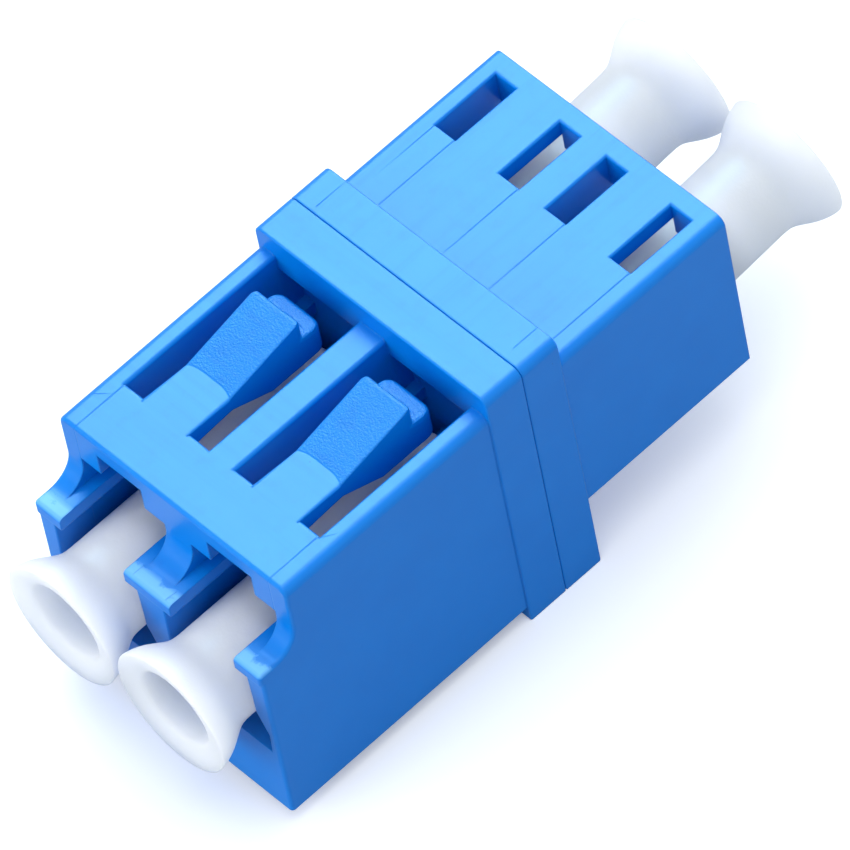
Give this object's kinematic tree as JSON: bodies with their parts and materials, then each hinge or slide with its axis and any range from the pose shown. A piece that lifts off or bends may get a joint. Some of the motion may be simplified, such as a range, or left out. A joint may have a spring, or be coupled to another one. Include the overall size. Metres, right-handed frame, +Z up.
{
  "type": "lc fibre adapter",
  "caption": "Fibre coupling adapter with side-by-side LC ports at both ends, press levers that release the plugs, ceramic sleeves inside and pull-off dust caps.",
  "frame": {"origin": "at the underside of the collar, on the weld seam (the optical plane) and midway between the two ports", "axes": "+Z up, +Y along the optical axes towards the plain far half, -Y out of the near mouth with the press levers, +X across the ports to the right-hand port"},
  "size_m": [0.0132, 0.0346, 0.0147],
  "materials": {
    "blue_housing": "satin moulded, blue",
    "blue_lever": "fine spark texture on the finger ramp, blue",
    "white_cap": "milky, slightly translucent",
    "zirconia": "polished white ceramic"
  },
  "bodies": {
    "housing": {"near_housing": "blue_housing", "far_housing": "blue_housing", "left_split_sleeve": "zirconia", "right_split_sleeve": "zirconia"},
    "left_lever": {"left_release_lever": "blue_lever"},
    "right_lever": {"right_release_lever": "blue_lever"},
    "near_left_cap": {"near_left_dust_cap": "white_cap"},
    "near_right_cap": {"near_right_dust_cap": "white_cap"},
    "far_left_cap": {"far_left_dust_cap": "white_cap"},
    "far_right_cap": {"far_right_dust_cap": "white_cap"}
  },
  "joints": [
    {"name": "left_lever_press", "type": "hinge", "parent": "housing", "child": "left_lever", "pos_m": [-0.00313, -0.01005, 0.01317], "axis": [-1, 0, 0], "range_deg": [0, 8], "stiffness_Nm_per_rad": 0.15},
    {"name": "near_left_cap_pull", "type": "slide", "parent": "housing", "child": "near_left_cap", "axis": [0, -1, 0], "range_m": [0, 0.014]},
    {"name": "far_left_cap_pull", "type": "slide", "parent": "housing", "child": "far_left_cap", "axis": [0, 0.9957, 0.0924], "range_m": [0, 0.0105]},
    {"name": "right_lever_press", "type": "hinge", "parent": "housing", "child": "right_lever", "pos_m": [0.00313, -0.01005, 0.01317], "axis": [-1, 0, 0], "range_deg": [0, 8], "stiffness_Nm_per_rad": 0.15},
    {"name": "near_right_cap_pull", "type": "slide", "parent": "housing", "child": "near_right_cap", "axis": [0, -1, 0], "range_m": [0, 0.014]},
    {"name": "far_right_cap_pull", "type": "slide", "parent": "housing", "child": "far_right_cap", "axis": [0, 0.9957, 0.0924], "range_m": [0, 0.0105]}
  ]
}
